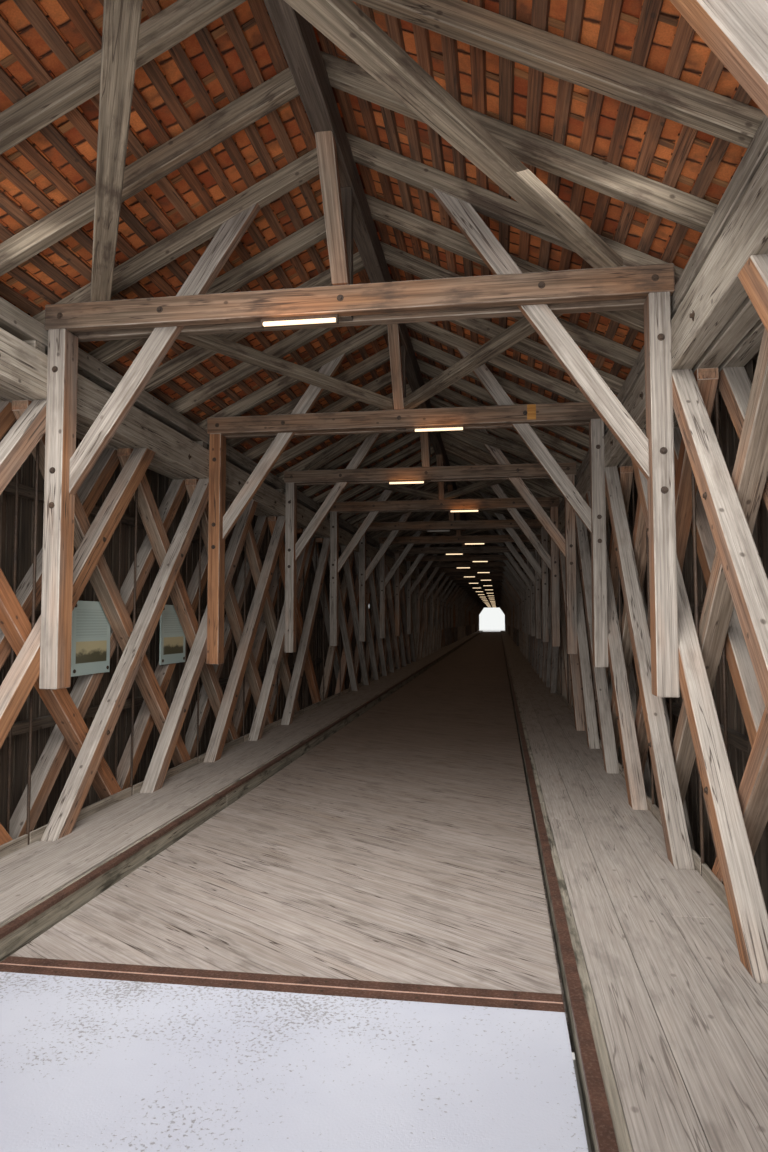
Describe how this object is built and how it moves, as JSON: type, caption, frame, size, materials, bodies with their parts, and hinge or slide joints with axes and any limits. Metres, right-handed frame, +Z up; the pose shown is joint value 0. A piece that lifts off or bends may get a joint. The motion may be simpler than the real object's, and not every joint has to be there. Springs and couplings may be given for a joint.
{
  "type": "covered timber bridge (scale model at one tenth)",
  "caption": "Long covered timber road bridge on lattice trusses with iron rods, a tiled ridged roof, boarded walls, sidewalks and concrete supports, as a scale model.",
  "frame": {"origin": "on the centre line between the trusses, halfway along the bridge, at the level on which the supports stand", "axes": "+X to the right across the bridge seen from the near portal, +Y along the bridge to the far portal, +Z up"},
  "size_m": [0.796, 13.66, 1.1677],
  "materials": {
    "weathered_timber": "weathered grey softwood, sawn",
    "fresh_timber": "newer larch, sawn, orange brown",
    "dark_timber": "old softwood, dark with age",
    "wall_timber": "dark brown boarding, sawn",
    "deck_timber": "worn hardwood planking",
    "concrete": null,
    "rusty_iron": "forged iron with brown rust",
    "steel_edging": "hot rolled steel, worn bright on the edges",
    "clay_tile": null,
    "lamp_cover": "opal lamp cover, lit",
    "board_panel": "pale printed panel left bare"
  },
  "bodies": {
    "root": {"abutments": "concrete", "river_piers": "concrete", "bearing_sleepers": "dark_timber", "bottom_chords": "weathered_timber", "top_chords": "weathered_timber", "support_posts": "weathered_timber", "main_braces_left": "weathered_timber", "main_braces_right": "weathered_timber", "counter_braces_left": "fresh_timber", "counter_braces_right": "fresh_timber", "bearing_blocks": "fresh_timber", "iron_rods": "rusty_iron", "floor_beams": "dark_timber", "stringers": "dark_timber", "road_deck": "deck_timber", "approach_slabs": "concrete", "expansion_joints": "steel_edging", "walk_framing": "weathered_timber", "sidewalks": "weathered_timber", "curb_angles": "steel_edging", "kick_boards": "weathered_timber", "tie_beams": "weathered_timber", "hanging_posts_left": "weathered_timber", "hanging_posts_right": "weathered_timber", "knee_braces_left": "weathered_timber", "knee_braces_right": "weathered_timber", "ridge_posts": "dark_timber", "ridge_struts": "fresh_timber", "wind_braces": "weathered_timber", "ridge_purlin": "dark_timber", "wall_plates": "weathered_timber", "rafters_left": "weathered_timber", "rafters_right": "weathered_timber", "battens": "dark_timber", "roof_cover": "clay_tile", "ridge_tiles": "clay_tile", "wall_boards": "wall_timber", "wall_frame_left": "wall_timber", "wall_frame_right": "wall_timber", "portal_fronts": "wall_timber", "barge_boards": "wall_timber", "tube_lamps": "lamp_cover", "info_boards": "board_panel"}
  },
  "joints": []
}
